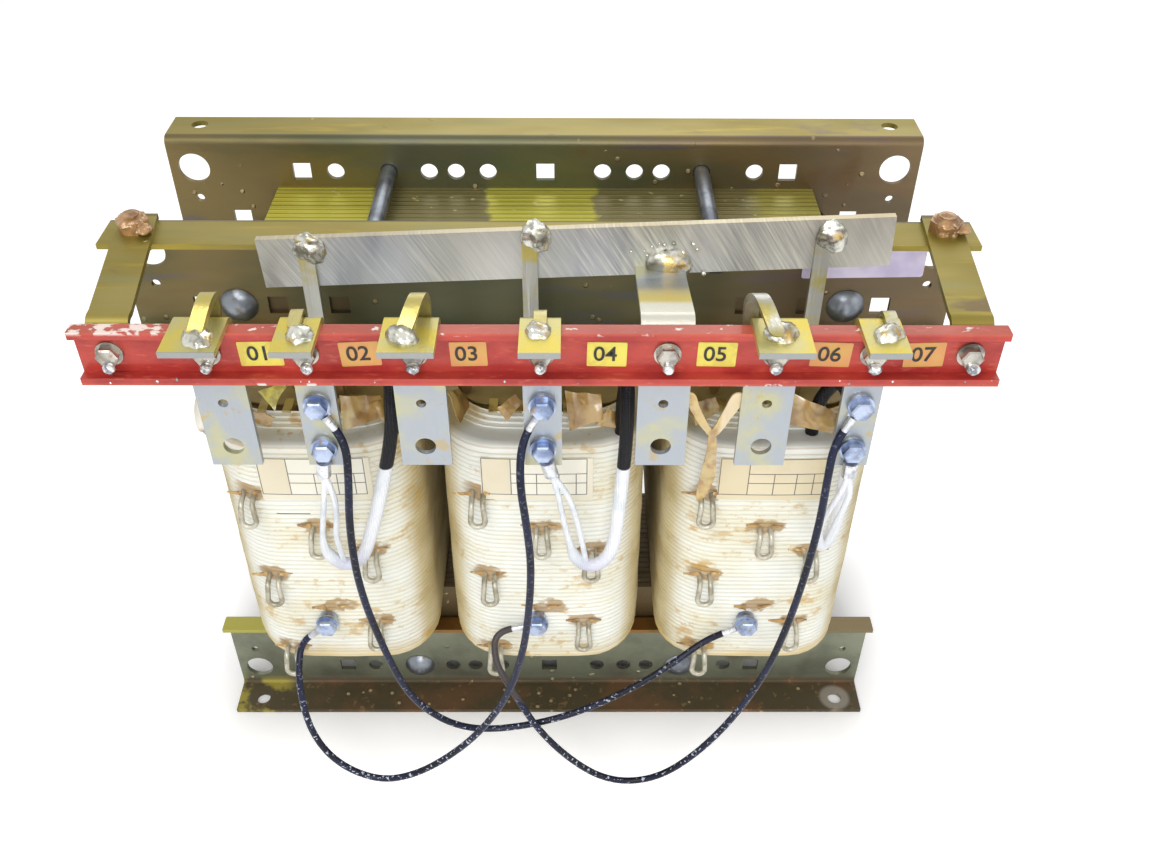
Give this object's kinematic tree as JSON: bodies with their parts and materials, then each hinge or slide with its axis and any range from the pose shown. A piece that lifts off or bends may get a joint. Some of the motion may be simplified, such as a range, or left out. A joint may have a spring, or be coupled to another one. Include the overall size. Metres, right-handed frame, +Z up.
{
  "type": "dry-type transformer",
  "caption": "Open dry-type transformer: laminated core in folded clamps, wrapped coils, red terminal rail, neutral bar and looped cables.",
  "frame": {"origin": "on the floor, at the middle of the four mounting holes in the lower clamps' flanges", "axes": "+X along the core to the right of the terminal side's viewer, +Y away from the terminal side, +Z up"},
  "size_m": [0.457, 0.2955, 0.415],
  "materials": {
    "core_steel": "laminated, varnished edges with surface stains",
    "zinc_sheet": "yellow passivated zinc with iridescent streaks, varnish runs and rust",
    "zinc_strap": "yellow passivated zinc with varnish",
    "dark_bolt": "dark oiled steel",
    "bright_bolt": "bright zinc with varnish stains",
    "rusty_bolt": "zinc with rust and varnish",
    "winding_wrap": "ivory ribbed wrap with brown varnish stains",
    "inner_wrap": "varnished brown wrap",
    "spacer": "varnished amber sticks",
    "tap_wire": "dull grey-olive wire",
    "rail_red": "glossy red glass-polyester with clear varnish",
    "terminal_metal": "silvery plate with yellow varnish stains",
    "neutral_metal": "ground bar metal with diagonal scratches",
    "lead_metal": "varnished strip with weld beads",
    "cable_black": "black jacket with a blue sheen",
    "sleeve_white": "white and black glass sleeving",
    "lug_metal": "tinned lug"
  },
  "bodies": {
    "root": {"core": "core_steel", "front_upper_clamp": "zinc_sheet", "front_lower_clamp": "zinc_sheet", "rear_upper_clamp": "zinc_sheet", "rear_lower_clamp": "zinc_sheet", "upper_tie_bolts": "dark_bolt", "upper_end_bolts": "dark_bolt", "lower_tie_bolts": "dark_bolt", "lower_end_bolts": "dark_bolt", "left_outer_winding": "winding_wrap", "centre_outer_winding": "winding_wrap", "right_outer_winding": "winding_wrap", "left_inner_winding": "inner_wrap", "centre_inner_winding": "inner_wrap", "right_inner_winding": "inner_wrap", "duct_spacers": "spacer", "left_tap_loops": "tap_wire", "centre_tap_loops": "tap_wire", "right_tap_loops": "tap_wire", "tap_bolts": "bright_bolt", "terminal_rail": "rail_red", "left_rail_strap": "zinc_strap", "right_rail_strap": "zinc_strap", "terminal_1": "terminal_metal", "terminal_2": "terminal_metal", "terminal_3": "terminal_metal", "terminal_4": "terminal_metal", "terminal_5": "terminal_metal", "terminal_6": "terminal_metal", "terminal_7": "terminal_metal", "rail_bolts": "bright_bolt", "strap_bolts": "rusty_bolt", "terminal_bolts": "bright_bolt", "neutral_bar": "neutral_metal", "neutral_leads": "lead_metal", "wide_tab_leads": "lead_metal", "narrow_tab_leads": "lead_metal", "jumper_left": "cable_black", "jumper_centre": "cable_black", "jumper_right": "cable_black", "coil_lead_left": "sleeve_white", "coil_lead_centre": "sleeve_white", "coil_lead_right": "sleeve_white", "jumper_lugs": "lug_metal", "coil_lead_lugs": "lug_metal"}
  },
  "joints": []
}
